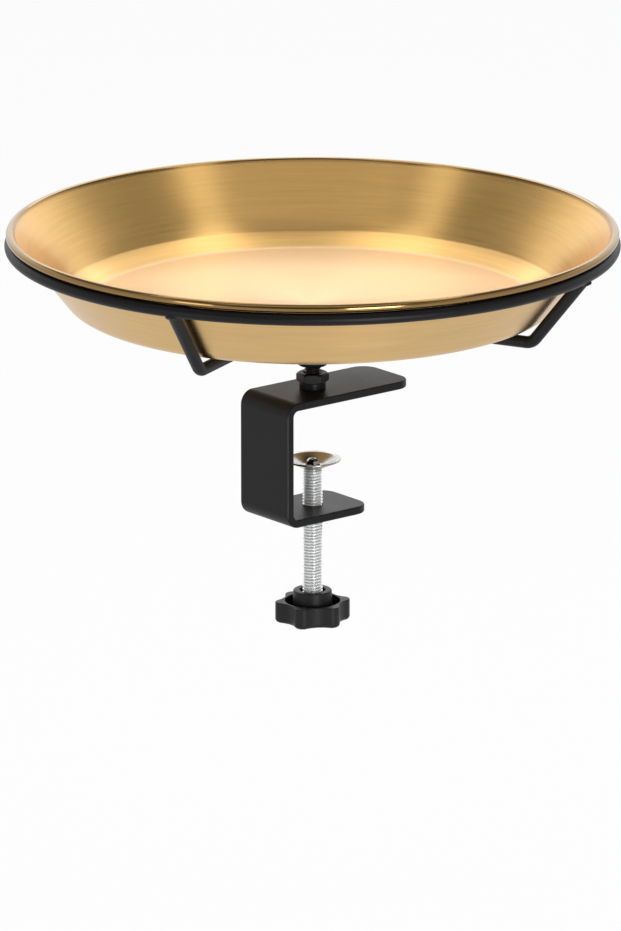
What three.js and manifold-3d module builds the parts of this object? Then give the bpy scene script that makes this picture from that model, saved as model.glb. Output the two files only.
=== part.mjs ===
// A clamp-on bird feeding station: a spun dish in a wire holder, screwed on a C-clamp with a star knob.
// Millimetres, +Z up. The origin is on the common axis of dish, stud and clamp screw, at the underside
// of the bracket's top flange, which is the face that sits on a railing. The flanges point along +X.

import * as THREE from 'three';
import { mergeVertices } from 'three/addons/utils/BufferGeometryUtils.js';
import Module from 'manifold-3d';

const wasm = await Module();
wasm.setup();

// Fits
const FACE_GAP = 0.05;          // between two flat faces that touch
const WELD_GAP = 0.3;           // root gap that a weld fills
const SEAT_GAP = 0.3;           // between the rim and the ring that it rests on
const RUNNING_GAP = 0.3;        // radial, round anything that turns or is pushed in
const OVERCUT = 1;              // how far a cutter runs past the face it cuts

// Clamp bracket: one bent flat bar
const BAR_WIDTH = 37;
const BAR_THICKNESS = 4;
const BAR_EDGE_BREAK = 0.6;
const BEND_INNER_RADIUS = 3;
const JAW_HEIGHT = 55;          // clear height between the flanges
const TOP_FLANGE_REACH = 49;    // from the screw axis to the free end
const BOTTOM_FLANGE_REACH = 22.5;
const FLANGE_CORNER_RADIUS = 9;
const AXIS_FROM_BACK = 30.5;    // from the outside of the back plate to the screw axis

// Stud and jam nut, M8
const STUD_DIAMETER = 8;
const STUD_ENGAGEMENT = 16.5;   // length screwed into the boss
const STUD_CHAMFER = 0.9;
const COLLAR_WIDTH = 2.5;       // radial, round the stud's foot
const COLLAR_HEIGHT = 3.5;
const NUT_WALL = 2.7;           // from the nut's bore to its flats
const NUT_HEIGHT = 4.5;
const NUT_CHAMFER = 0.7;        // drop of the corner chamfer
const NUT_ANGLE = 21;           // degrees, as the nut was left

// Holder: hub boss, four arms and the ring
const NECK_LENGTH = 3.5;        // bare thread between the jam nut and the boss
const BOSS_WALL = 3.7;          // round the bore
const BOSS_CAP = 8.5;           // solid end above the bore, where the arms meet
const BOSS_EDGE_RADIUS = 2.5;
const BOSS_TOP_CHAMFER = 0.8;
const BORE_RUNOUT = 3.5;        // bore left above the end of the stud
const WIRE_DIAMETER = 6;
const RING_OUTER_DIAMETER = 300;
const ARM_COUNT = 4;
const ARM_ANGLE = 24;           // degrees, from the flanges to the first arm
const ARM_BEND_RADIUS = 6.5;    // of the wire's centre line
const KNEE_REACH = 8;           // the arm's knee beyond the dish's flat bottom
const UNDER_DISH_GAP = 1.9;     // from the arms to the dish's bottom

// Dish
const SHEET_THICKNESS = 0.8;
const DISH_HEIGHT = 36.5;       // from the underside to the centre of the rolled rim
const FLOOR_DIAMETER = 221;     // flat part of the bottom
const CORNER_RADIUS = 13.5;     // outside of the corner between bottom and wall
const BEAD_DIAMETER = 4.2;
const RIM_SETBACK = 0.7;        // rim inside the ring's outline

// Clamp screw M10, its pad and the star knob
const SCREW_DIAMETER = 10;
const SCREW_END_CHAMFER = 1;
const SHOULDER_WIDTH = 2;       // step from the screw to the spigot that carries the pad
const PAD_LIFT = 19;            // from the bottom flange up to the underside of the pad, as stored
const PAD_SHEET = 0.9;
const PAD_LAND = 2.9;           // flat ring round the spigot, width
const PAD_CUP_RUN = 4;          // cup outside the land, width
const PAD_CUP_RISE = 2.6;
const PAD_LIP_RUN = 3.8;        // shallower lip outside the cup, width
const PAD_LIP_RISE = 0.6;
const PEEN_OVERHANG = 0.9;      // of the peened head over the spigot
const PEEN_EDGE = 1.2;          // upright edge of the head
const PEEN_HEIGHT = 2.9;
const PEEN_FACETS = 6;
const SCREW_BARE_LENGTH = 62.7; // from the shoulder under the pad to the top of the knob's hub

const KNOB_LOBES = 6;
const KNOB_ANGLE = 31;          // degrees, as the knob was left
const INSERT_WALL = 2.2;        // of the threaded bush round the screw
const INSERT_HEIGHT = 9;
const INSERT_CHAMFER = 0.6;
const MOUTH_GAP = 1.3;          // radial, between the screw and the hub's mouth
const MOUTH_DEPTH = 2.5;        // from the hub's top down to the bush
const HUB_WALL = 1.7;           // round the bush
const HUB_DRAFT = 0.5;          // the hub's foot is wider than its top, radial
const HUB_ABOVE_RIM = 5.5;
const RECESS_WIDTH = 3.65;      // groove between the hub and the lobed wall
const VALLEY_WALL = 1.25;       // lobed wall at its thinnest
const LOBE_REACH = 3.7;         // from the valleys out to the tips
const LOBE_RADIUS = 4.2;
const KNOB_FLOOR = 3.5;         // thickness under the recess
const KNOB_BASE = 4.4;          // thickness under the bush
const KNOB_EDGE_RADIUS = 2;     // round lower edge of the lobes

// Levels, from the underside of the top flange
const flangeTop = BAR_THICKNESS;
const collarTop = flangeTop + COLLAR_HEIGHT;
const nutTop = collarTop + NUT_HEIGHT;
const bossBottom = nutTop + NECK_LENGTH;
const studTop = bossBottom + STUD_ENGAGEMENT;
const boreTop = studTop + BORE_RUNOUT;
const bossTop = boreTop + BOSS_CAP;
const wireRadius = WIRE_DIAMETER / 2;
const armLevel = bossTop - wireRadius;
const dishBottom = armLevel + wireRadius + UNDER_DISH_GAP;
const beadRadius = BEAD_DIAMETER / 2;
const beadLevel = dishBottom + DISH_HEIGHT;
const ringLevel = beadLevel - beadRadius - SEAT_GAP - wireRadius;
const padBottom = PAD_LIFT - JAW_HEIGHT;
const shoulderLevel = padBottom - FACE_GAP;
const hubTop = shoulderLevel - SCREW_BARE_LENGTH;
const knobRimTop = hubTop - HUB_ABOVE_RIM;
const insertTop = hubTop - MOUTH_DEPTH - FACE_GAP;
const insertBottom = insertTop - INSERT_HEIGHT;
const knobBottom = insertBottom - FACE_GAP - KNOB_BASE;

// Radii, from the common axis
const studRadius = STUD_DIAMETER / 2;
const studBore = studRadius + RUNNING_GAP;
const bossRadius = studBore + BOSS_WALL;
const ringRadius = RING_OUTER_DIAMETER / 2 - wireRadius;
const beadCentreRadius = RING_OUTER_DIAMETER / 2 - RIM_SETBACK - beadRadius;
const screwRadius = SCREW_DIAMETER / 2;
const screwBore = screwRadius + RUNNING_GAP;
const spigotRadius = screwRadius - SHOULDER_WIDTH;
const insertRadius = screwBore + INSERT_WALL;
const hubRadius = insertRadius + RUNNING_GAP + HUB_WALL;
const recessRadius = hubRadius + HUB_DRAFT + RECESS_WIDTH;
const valleyRadius = recessRadius + VALLEY_WALL;
const tipRadius = valleyRadius + LOBE_REACH;

// Facets
const FINE = 72;                // round the dish and the ring
const ROUND = 24;               // round turned pieces
const PAD_ROUND = 36;
const KNOB_ROUND = 36;
const WIRE_SIDES = 12;
const ARM_STEPS = 8;
const CORNER_STEPS = 6;         // along a drawn outline's arc
const EDGE_STEPS = 3;           // round the knob's lower edge
const ARC_STEP = Math.PI / 8;   // largest step along a profile's arc

// Finishes
const brushedGold = { color: 0xc89a55, roughness: 0.32, metalness: 1 };
const blackPowderCoat = { color: 0x1d1d1f, roughness: 0.55, metalness: 0.1 };
const blackHardware = { color: 0x19191b, roughness: 0.45, metalness: 0.4 };
const zincPlate = { color: 0xc4c8c8, roughness: 0.3, metalness: 1 };
const brightNickel = { color: 0xd6d4d0, roughness: 0.12, metalness: 1 };
const blackPlastic = { color: 0x1f1f22, roughness: 0.6, metalness: 0 };

const radians = THREE.MathUtils.degToRad;

// Merges shared corners and drops triangles that have collapsed on the axis
function closed(geometry) {
  const bare = geometry.clone();
  bare.deleteAttribute('normal');
  bare.deleteAttribute('uv');
  const merged = mergeVertices(bare, 1e-4);
  const index = merged.index.array;
  const kept = [];
  for (let i = 0; i < index.length; i += 3) {
    const [a, b, c] = [index[i], index[i + 1], index[i + 2]];
    if (a !== b && b !== c && c !== a) kept.push(a, b, c);
  }
  merged.setIndex(kept);
  return merged;
}

function solid(geometry) {
  const merged = closed(geometry);
  return new wasm.Manifold(new wasm.Mesh({
    numProp: 3,
    vertProperties: Float32Array.from(merged.attributes.position.array),
    triVerts: Uint32Array.from(merged.index.array),
  }));
}

function geometryOf(body) {
  const mesh = body.getMesh();
  const geometry = new THREE.BufferGeometry();
  geometry.setAttribute('position', new THREE.BufferAttribute(mesh.vertProperties, 3));
  geometry.setIndex(new THREE.BufferAttribute(mesh.triVerts, 1));
  geometry.computeVertexNormals();
  return geometry;
}

function piece(name, geometry, finish) {
  const mesh = new THREE.Mesh(geometry, new THREE.MeshStandardMaterial(finish));
  mesh.name = name;
  return mesh;
}

// Revolves [radius, height] points about Z; the profile runs upwards on its outside
function revolve(profile, segments = ROUND) {
  const points = profile.map(([r, z]) => new THREE.Vector2(r, z));
  const geometry = new THREE.LatheGeometry(points, segments);
  return geometry.rotateX(Math.PI / 2);
}

// Points of an arc in a profile, from one angle to another, both in radians
function arc([r, z], radius, from, to) {
  const count = Math.max(2, Math.ceil(Math.abs(to - from) / ARC_STEP));
  return Array.from({ length: count + 1 }, (_, i) => {
    const angle = from + (to - from) * i / count;
    return [r + radius * Math.cos(angle), z + radius * Math.sin(angle)];
  });
}

function cylinder(radius, bottom, top, segments = ROUND) {
  return revolve([[0, bottom], [radius, bottom], [radius, top], [0, top]], segments);
}

function prism(shape, bottom, top) {
  const geometry = new THREE.ExtrudeGeometry(shape, { depth: top - bottom, bevelEnabled: false });
  return geometry.translate(0, 0, bottom);
}

// The dish: flat floor, round corner, conical wall and a rim rolled outwards round a bead.
// The wall's inner face touches the corner's inner arc on one side and the bead on the other.
function dishGeometry() {
  const floorRadius = FLOOR_DIAMETER / 2;
  const innerCorner = CORNER_RADIUS - SHEET_THICKNESS;
  const corner = [floorRadius, dishBottom + CORNER_RADIUS];
  const bead = [beadCentreRadius, beadLevel];
  const run = bead[0] - corner[0];
  const rise = bead[1] - corner[1];
  const slant = Math.acos((innerCorner + beadRadius) / Math.hypot(run, rise)) - Math.atan2(rise, run);
  const intoSheet = beadRadius - SHEET_THICKNESS;
  const outerMeet = Math.PI - slant + Math.acos(intoSheet / beadRadius);
  const inside = [
    [0, dishBottom + SHEET_THICKNESS],
    ...arc(corner, innerCorner, -Math.PI / 2, -slant),
    ...arc(bead, beadRadius, Math.PI - slant, outerMeet - 2 * Math.PI),
  ];
  const outside = [...arc(corner, CORNER_RADIUS, -slant, -Math.PI / 2), [0, dishBottom]];
  return revolve([...inside, ...outside].reverse(), FINE);
}

function ringGeometry(radius = wireRadius) {
  const torus = new THREE.TorusGeometry(ringRadius, radius, WIRE_SIDES, FINE);
  return torus.translate(0, 0, ringLevel);
}

// One arm's centre line in the XZ plane: out from the boss under the dish, round the knee and up to the
// ring. Both straight legs take one step each, and the knee takes the rest.
class ArmCurve extends THREE.Curve {
  constructor(steps) {
    super();
    const knee = new THREE.Vector3(FLOOR_DIAMETER / 2 + KNEE_REACH, 0, armLevel);
    this.start = new THREE.Vector3(bossRadius / 2, 0, armLevel);
    this.end = new THREE.Vector3(ringRadius, 0, ringLevel);
    this.climb = Math.atan2(this.end.z - knee.z, this.end.x - knee.x);
    const tangent = ARM_BEND_RADIUS * Math.tan(this.climb / 2);
    this.bendStart = knee.clone().setX(knee.x - tangent);
    this.bendEnd = this.onBend(1, new THREE.Vector3());
    this.leg = 1 / steps;
  }

  onBend(share, target) {
    const angle = this.climb * share;
    const along = ARM_BEND_RADIUS * Math.sin(angle);
    const up = ARM_BEND_RADIUS * (1 - Math.cos(angle));
    return target.set(this.bendStart.x + along, 0, this.bendStart.z + up);
  }

  getPoint(t, target = new THREE.Vector3()) {
    if (t <= this.leg) return target.lerpVectors(this.start, this.bendStart, t / this.leg);
    const left = 1 - t;
    if (left <= this.leg) return target.lerpVectors(this.end, this.bendEnd, left / this.leg);
    return this.onBend((t - this.leg) / (1 - 2 * this.leg), target);
  }

  getUtoTmapping(u) {
    return u;
  }
}

function armGeometry() {
  const section = new THREE.Shape().absarc(0, 0, wireRadius, 0, 2 * Math.PI);
  const wire = new THREE.ExtrudeGeometry(section, {
    extrudePath: new ArmCurve(ARM_STEPS),
    steps: ARM_STEPS,
    curveSegments: WIRE_SIDES / 2,
  });
  const boss = cylinder(bossRadius + WELD_GAP, bossBottom, bossTop + OVERCUT);
  const ring = ringGeometry(wireRadius + WELD_GAP);
  return geometryOf(solid(wire).subtract(solid(boss)).subtract(solid(ring)));
}

function bossGeometry() {
  const edge = [bossRadius - BOSS_EDGE_RADIUS, bossBottom + BOSS_EDGE_RADIUS];
  return revolve([
    [0, boreTop],
    [studBore, boreTop],
    [studBore, bossBottom],
    ...arc(edge, BOSS_EDGE_RADIUS, -Math.PI / 2, 0),
    [bossRadius, bossTop - BOSS_TOP_CHAMFER],
    [bossRadius - BOSS_TOP_CHAMFER, bossTop],
    [0, bossTop],
  ]);
}

function studGeometry() {
  const base = flangeTop + FACE_GAP;
  const collar = studRadius + COLLAR_WIDTH;
  return revolve([
    [0, base],
    [collar, base],
    [collar, collarTop],
    [studRadius, collarTop],
    [studRadius, studTop - STUD_CHAMFER],
    [studRadius - STUD_CHAMFER, studTop],
    [0, studTop],
  ]);
}

// A hexagon with its corners chamfered by a cone above and below
function nutGeometry() {
  const base = collarTop + FACE_GAP;
  const flat = studBore + NUT_WALL;
  const corner = flat / Math.cos(Math.PI / 6);
  const outline = new THREE.Shape();
  for (let i = 0; i < 6; i += 1) {
    const angle = radians(NUT_ANGLE + 60 * i);
    const point = [corner * Math.cos(angle), corner * Math.sin(angle)];
    if (i === 0) outline.moveTo(...point);
    else outline.lineTo(...point);
  }
  const slope = (corner - flat) / NUT_CHAMFER;
  const wide = corner + OVERCUT;
  const drop = (wide - flat) / slope;
  const chamfer = revolve([
    [0, base],
    [flat, base],
    [wide, base + drop],
    [wide, nutTop - drop],
    [flat, nutTop],
    [0, nutTop],
  ]);
  const bore = cylinder(studBore, base - OVERCUT, nutTop + OVERCUT);
  return geometryOf(solid(prism(outline, base, nutTop)).intersect(solid(chamfer)).subtract(solid(bore)));
}

// The side outline of the bent bar, drawn in X and Z
function bracketProfile() {
  const back = -AXIS_FROM_BACK;
  const front = back + BAR_THICKNESS;
  const low = -JAW_HEIGHT;
  const inner = BEND_INNER_RADIUS;
  const outer = inner + BAR_THICKNESS;
  const quarter = Math.PI / 2;
  return new THREE.Shape()
    .moveTo(TOP_FLANGE_REACH, flangeTop)
    .lineTo(front + inner, flangeTop)
    .absarc(front + inner, -inner, outer, quarter, 2 * quarter, false)
    .lineTo(back, low + inner)
    .absarc(front + inner, low + inner, outer, 2 * quarter, 3 * quarter, false)
    .lineTo(BOTTOM_FLANGE_REACH, low - BAR_THICKNESS)
    .lineTo(BOTTOM_FLANGE_REACH, low)
    .lineTo(front + inner, low)
    .absarc(front + inner, low + inner, inner, 3 * quarter, 2 * quarter, true)
    .lineTo(front, -inner)
    .absarc(front + inner, -inner, inner, 2 * quarter, quarter, true)
    .lineTo(TOP_FLANGE_REACH, 0)
    .closePath();
}

// A flange seen from above, with two round corners at its free end
function flangePlan(end) {
  const back = -AXIS_FROM_BACK - OVERCUT;
  const half = BAR_WIDTH / 2;
  const r = FLANGE_CORNER_RADIUS;
  return new THREE.Shape()
    .moveTo(back, -half)
    .lineTo(end - r, -half)
    .absarc(end - r, -half + r, r, -Math.PI / 2, 0, false)
    .lineTo(end, half - r)
    .absarc(end - r, half - r, r, 0, Math.PI / 2, false)
    .lineTo(back, half)
    .closePath();
}

function bracketGeometry() {
  const bar = new THREE.ExtrudeGeometry(bracketProfile(), {
    depth: BAR_WIDTH - 2 * BAR_EDGE_BREAK,
    bevelThickness: BAR_EDGE_BREAK,
    bevelSize: BAR_EDGE_BREAK,
    bevelOffset: -BAR_EDGE_BREAK,
    bevelSegments: 1,
    curveSegments: CORNER_STEPS,
  });
  bar.rotateX(Math.PI / 2);
  bar.translate(0, BAR_WIDTH / 2 - BAR_EDGE_BREAK, 0);
  const middle = -JAW_HEIGHT / 2;
  const below = -JAW_HEIGHT - BAR_THICKNESS - OVERCUT;
  const upper = prism(flangePlan(TOP_FLANGE_REACH), middle - OVERCUT, flangeTop + OVERCUT);
  const lower = prism(flangePlan(BOTTOM_FLANGE_REACH), below, middle + OVERCUT);
  const hole = cylinder(screwBore, below, middle);
  const trimmed = solid(bar).intersect(solid(upper).add(solid(lower)));
  return geometryOf(trimmed.subtract(solid(hole)));
}

// Underside and top of the pressed pad share one outline, one sheet thickness apart
function padGeometry() {
  const bore = spigotRadius + RUNNING_GAP;
  const land = bore + PAD_LAND;
  const cup = land + PAD_CUP_RUN;
  const cupTop = padBottom + PAD_CUP_RISE;
  const round = PAD_SHEET / 2;
  const outline = [[land, padBottom], [cup, cupTop]];
  const edge = [cup + PAD_LIP_RUN - round, cupTop + PAD_LIP_RISE + round];
  const top = outline.map(([r, z]) => [r - round, z + PAD_SHEET]).reverse();
  const profile = [
    [bore, padBottom],
    ...outline,
    ...arc(edge, round, -Math.PI / 2, Math.PI / 2),
    ...top,
    [bore, padBottom + PAD_SHEET],
    [bore, padBottom],
  ];
  return revolve(profile, PAD_ROUND);
}

function screwGeometry() {
  const chamfered = screwRadius - SCREW_END_CHAMFER;
  const head = padBottom + PAD_SHEET + FACE_GAP;
  const headRadius = spigotRadius + PEEN_OVERHANG;
  const rod = revolve([
    [0, insertBottom],
    [chamfered, insertBottom],
    [screwRadius, insertBottom + SCREW_END_CHAMFER],
    [screwRadius, shoulderLevel - SCREW_END_CHAMFER],
    [chamfered, shoulderLevel],
    [spigotRadius, shoulderLevel],
    [spigotRadius, head + PEEN_EDGE],
    [0, head + PEEN_EDGE],
  ]);
  const peen = revolve([
    [0, head],
    [headRadius, head],
    [headRadius, head + PEEN_EDGE],
    [headRadius / 2, head + PEEN_HEIGHT],
    [0, head + PEEN_HEIGHT],
  ], PEEN_FACETS);
  return geometryOf(solid(rod).add(solid(peen)));
}

// Convex lobes joined by concave valleys, each pair of arcs touching where they meet
function knobOutline() {
  const half = Math.PI / KNOB_LOBES;
  const lobeCentre = tipRadius - LOBE_RADIUS;
  const across = lobeCentre * Math.cos(half);
  const gap = lobeCentre ** 2 + valleyRadius ** 2 - 2 * valleyRadius * across;
  const valleyArc = (gap - LOBE_RADIUS ** 2) / (2 * (across + LOBE_RADIUS - valleyRadius));
  const valleyCentre = valleyRadius + valleyArc;
  const toValley = Math.atan2(valleyCentre * Math.sin(half), valleyCentre * Math.cos(half) - lobeCentre);
  const outline = new THREE.Shape();
  for (let i = 0; i < KNOB_LOBES; i += 1) {
    const turn = radians(KNOB_ANGLE) + 2 * half * i;
    const lobe = [lobeCentre * Math.cos(turn), lobeCentre * Math.sin(turn)];
    const valley = [valleyCentre * Math.cos(turn + half), valleyCentre * Math.sin(turn + half)];
    const facing = turn + half + Math.PI;
    const spread = facing - (turn + toValley + Math.PI);
    outline.absarc(...lobe, LOBE_RADIUS, turn - toValley, turn + toValley, false);
    outline.absarc(...valley, valleyArc, facing - spread, facing + spread, true);
  }
  return outline;
}

function knobGeometry() {
  const lobes = new THREE.ExtrudeGeometry(knobOutline(), {
    depth: knobRimTop - knobBottom,
    bevelThickness: KNOB_EDGE_RADIUS,
    bevelSize: KNOB_EDGE_RADIUS,
    bevelOffset: -KNOB_EDGE_RADIUS,
    bevelSegments: EDGE_STEPS,
    curveSegments: CORNER_STEPS,
  });
  lobes.translate(0, 0, knobBottom + KNOB_EDGE_RADIUS);
  const floor = knobBottom + KNOB_FLOOR;
  const above = hubTop + 2 * KNOB_EDGE_RADIUS + OVERCUT;
  const recess = revolve([
    [0, floor],
    [recessRadius, floor],
    [recessRadius, knobRimTop],
    [tipRadius + OVERCUT, knobRimTop],
    [tipRadius + OVERCUT, above],
    [0, above],
  ], KNOB_ROUND);
  const hub = revolve([
    [0, floor - FACE_GAP],
    [hubRadius + HUB_DRAFT, floor - FACE_GAP],
    [hubRadius, hubTop],
    [0, hubTop],
  ]);
  const pocketRadius = insertRadius + RUNNING_GAP;
  const mouth = screwRadius + MOUTH_GAP;
  const pocket = revolve([
    [0, insertBottom - FACE_GAP],
    [pocketRadius, insertBottom - FACE_GAP],
    [pocketRadius, insertTop + FACE_GAP],
    [mouth, insertTop + FACE_GAP],
    [mouth, above],
    [0, above],
  ]);
  return geometryOf(solid(lobes).subtract(solid(recess)).add(solid(hub)).subtract(solid(pocket)));
}

function insertGeometry() {
  return revolve([
    [screwBore, insertBottom],
    [insertRadius, insertBottom],
    [insertRadius, insertTop - INSERT_CHAMFER],
    [insertRadius - INSERT_CHAMFER, insertTop],
    [screwBore, insertTop],
    [screwBore, insertBottom],
  ]);
}

const clamp = new THREE.Group();
clamp.add(piece('clamp_bracket', bracketGeometry(), blackPowderCoat));
clamp.add(piece('weld_stud', studGeometry(), blackHardware));
clamp.add(piece('jam_nut', nutGeometry(), blackHardware));

const holder = new THREE.Group();
holder.add(piece('hub_boss', bossGeometry(), blackPowderCoat));
holder.add(piece('holder_ring', ringGeometry(), blackPowderCoat));
const arm = armGeometry();
for (let i = 0; i < ARM_COUNT; i += 1) {
  const copy = piece(`arm_${i + 1}`, arm, blackPowderCoat);
  copy.rotation.z = radians(ARM_ANGLE + 360 * i / ARM_COUNT);
  holder.add(copy);
}
holder.add(piece('dish', dishGeometry(), brushedGold));

const drive = new THREE.Group();
drive.add(piece('clamp_screw', screwGeometry(), zincPlate));
drive.add(piece('pressure_pad', padGeometry(), brightNickel));
drive.add(piece('star_knob', knobGeometry(), blackPlastic));
drive.add(piece('knob_insert', insertGeometry(), zincPlate));

const station = new THREE.Group();
station.add(clamp, holder, drive);

export default station;
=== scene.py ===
"""Looks of a clamp-on bird feeding station: a brushed gold dish in a black wire holder on a C-clamp.

Metres, +Z up. The origin is on the common axis of dish, stud and clamp screw, at the underside of the
bracket's top flange, and the flanges point along +X.
"""
import math

import bmesh
import bpy
from mathutils import Matrix, Vector


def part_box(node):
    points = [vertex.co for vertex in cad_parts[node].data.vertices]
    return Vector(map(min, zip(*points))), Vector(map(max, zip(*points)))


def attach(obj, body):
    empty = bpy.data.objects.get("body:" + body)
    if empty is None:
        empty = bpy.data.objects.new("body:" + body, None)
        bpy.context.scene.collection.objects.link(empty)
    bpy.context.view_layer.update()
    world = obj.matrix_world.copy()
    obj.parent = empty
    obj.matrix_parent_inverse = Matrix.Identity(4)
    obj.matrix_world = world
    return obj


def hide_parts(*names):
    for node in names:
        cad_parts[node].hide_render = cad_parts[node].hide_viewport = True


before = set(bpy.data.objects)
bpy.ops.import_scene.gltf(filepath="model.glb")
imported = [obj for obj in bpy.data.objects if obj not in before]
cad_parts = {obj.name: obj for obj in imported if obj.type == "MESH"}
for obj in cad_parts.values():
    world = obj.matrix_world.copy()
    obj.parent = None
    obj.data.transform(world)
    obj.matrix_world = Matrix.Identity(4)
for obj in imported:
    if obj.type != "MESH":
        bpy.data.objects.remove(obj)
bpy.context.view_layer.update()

MM = 0.001
TURN = 2 * math.pi
QUARTER = math.pi / 2

# The photograph's frame and view
IMAGE_HEIGHT = 931
SENSOR_WIDTH = 36.0
VIEW_AZIMUTH = math.radians(320.9)
VIEW_ELEVATION = math.radians(15.72)
VIEW_DISTANCE = 4.03
VIEW_END = 200.0                 # nothing farther away is drawn
FOCAL_PIXELS = 8216
AIM_LEVEL = -35.5 * MM
AIM_SIDE = -1 * MM

# Corners of the CAD nodes
DISH_LOW, DISH_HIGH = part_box("dish")
RING_LOW, RING_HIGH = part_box("holder_ring")
BOSS_LOW, BOSS_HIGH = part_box("hub_boss")
STUD_LOW, STUD_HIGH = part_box("weld_stud")
NUT_LOW, NUT_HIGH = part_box("jam_nut")
BAR_LOW, BAR_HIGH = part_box("clamp_bracket")
PAD_LOW, PAD_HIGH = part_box("pressure_pad")
SCREW_LOW, SCREW_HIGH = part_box("clamp_screw")
KNOB_LOW, KNOB_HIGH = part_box("star_knob")
BUSH_LOW, BUSH_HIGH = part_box("knob_insert")

# Shared by several pieces
FIT_GAP = 0.05 * MM              # left between faces that lie on each other
SHARP = math.radians(32)         # edges that turn by more stay sharp in the shading
POINT_SIZE = 1e-7                # a circle with a smaller radius is a single point
MERGE_DISTANCE = 1e-8            # vertices that lie closer become one

# Dish
SHEET = 0.8 * MM
FLOOR_RADIUS = 110.5 * MM
DISH_CORNER = 13.5 * MM
BEAD_RADIUS = 2.1 * MM
RIM_RADIUS = DISH_HIGH.x - 2 * BEAD_RADIUS
CURL_GAP = math.radians(14)      # left open where the rolled rim comes back to the wall
COVE_RADIUS = 6 * MM             # inside, between the floor and the band below the crease
CREASE = math.radians(15)        # kink inside, where that band meets the wall
CREASE_LIFT = 0.8 * MM           # along the wall, above the foot of its straight part
EASE = math.radians(8)           # slight bend of the wall just above the crease
EASE_RADIUS = 70 * MM
FLOOR_FADE = (FLOOR_RADIUS - 0.5 * MM, FLOOR_RADIUS + 1.5 * MM)   # radii where the floor's duller finish and its painted highlight fade out
RIM_FADE = (RIM_RADIUS - 0.5 * MM, RIM_RADIUS + 0.5 * MM)         # radii where the rim's smoother finish and its painted dark reflection fade in
LONGEST_STEP = 6 * MM            # between two points of the dish's profile
LARGE_SEGMENTS = 288             # round the dish and the ring

# Holder
WIRE_RADIUS = (RING_HIGH.z - RING_LOW.z) / 2
WIRE_SIDES = 32
RING_RADIUS = RING_HIGH.x - WIRE_RADIUS
RING_LEVEL = (RING_HIGH.z + RING_LOW.z) / 2
ARM_COUNT = 4
ARM_ANGLE = math.radians(24)
ARM_LEVEL = BOSS_HIGH.z - WIRE_RADIUS
ARM_BEND = 6.5 * MM
ARM_BEND_STEPS = 18
KNEE_RADIUS = FLOOR_RADIUS + 8 * MM
WELD_BEAD = 1.0 * MM
WELD_SIDES = 10
WELD_RIPPLES = 13
WELD_RIPPLE = 0.1                # how far a ripple swells the bead, as a share of its radius
SEAM_POINTS = 6 * WELD_RIPPLES
SEAM_REACH = 1.06 * WIRE_RADIUS  # from the middle of the ring's wire to the middle of a weld bead on it
BOSS_RADIUS = BOSS_HIGH.x
BOSS_EDGE = 2.5 * MM
BOSS_TOP_EDGE = 0.8 * MM
BORE_TOP = STUD_HIGH.z + 3.5 * MM
BORE_END_EDGE = 0.4 * MM
BORE_MOUTH_EDGE = 0.5 * MM

# Thread form in shares of the pitch, as (along the axis, below the crest)
THREAD_DEPTH = 0.6134
THREAD_FORM = [
    (0.0, 0.0),
    (0.125, 0.0),
    (0.4375, THREAD_DEPTH),
    (0.5625, THREAD_DEPTH + 0.04),
    (0.6875, THREAD_DEPTH),
]
THREAD_OVERRUN = 1.5             # turns wound past each end before it is cut flat

# Stud and jam nut
STUD_RADIUS = 4 * MM
STUD_PITCH = 1.25 * MM
STUD_CHAMFER = 0.9 * MM
STUD_BORE = 4.3 * MM             # in the boss and the nut
COLLAR_TOP = NUT_LOW.z - FIT_GAP
COLLAR_FOOT_EDGE = 0.2 * MM
COLLAR_TOP_EDGE = 0.5 * MM
NUT_FLAT = 7 * MM
NUT_ANGLE = math.radians(21)
NUT_CORNER = 0.35 * MM           # rounding of the nut's upright edges
NUT_FACE = 0.97 * NUT_FLAT       # radius of the level faces above and below
NUT_CHAMFER = math.radians(30)   # slope of the cones that cut the corners
NUT_COUNTERSINK = 0.7 * MM
NUT_SHARP = math.radians(24)

# Bracket
BAR_THICKNESS = BAR_HIGH.z
BAR_HALF_WIDTH = BAR_HIGH.y
BAR_EDGE = 0.7 * MM
BAR_EDGE_STEPS = 5
BEND_INSIDE = 3 * MM
BEND_STEPS = 12
JAW_BOTTOM = BAR_LOW.z + BAR_THICKNESS
BACK_INSIDE = BAR_LOW.x + BAR_THICKNESS
BEND_CENTRE = BACK_INSIDE + BEND_INSIDE
TOP_REACH = BAR_HIGH.x
BOTTOM_REACH = 22.5 * MM
FLANGE_CORNER = 9 * MM
FLANGE_CORNER_STEPS = 10
HOLE_RADIUS = 5.15 * MM

# Lengths along the bar's inner face
TOP_LENGTH = TOP_REACH - BEND_CENTRE
BEND_LENGTH = QUARTER * BEND_INSIDE
BACK_LENGTH = -JAW_BOTTOM - 2 * BEND_INSIDE
BOTTOM_LENGTH = BOTTOM_REACH - BEND_CENTRE
BAR_LENGTH = TOP_LENGTH + BEND_LENGTH + BACK_LENGTH + BEND_LENGTH + BOTTOM_LENGTH

# Pad
PAD_SWELL = 0.35 * MM            # the pressed pad is this much deeper than its solid, above and below
PAD_BOTTOM = PAD_LOW.z - PAD_SWELL
PAD_TOP = PAD_HIGH.z + PAD_SWELL
PAD_RADIUS = PAD_HIGH.x
PAD_SHEET = 0.9 * MM
PAD_BORE = 3.3 * MM
PAD_BORE_EDGE = 0.2 * MM
PAD_LAND = 5.4 * MM
PAD_CUP = 12.6 * MM
PAD_CUP_RISE = 3.55 * MM
PAD_ROUNDING = 1.6 * MM
PAD_LIP_EDGE = 0.95 * PAD_SHEET / 2

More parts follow.
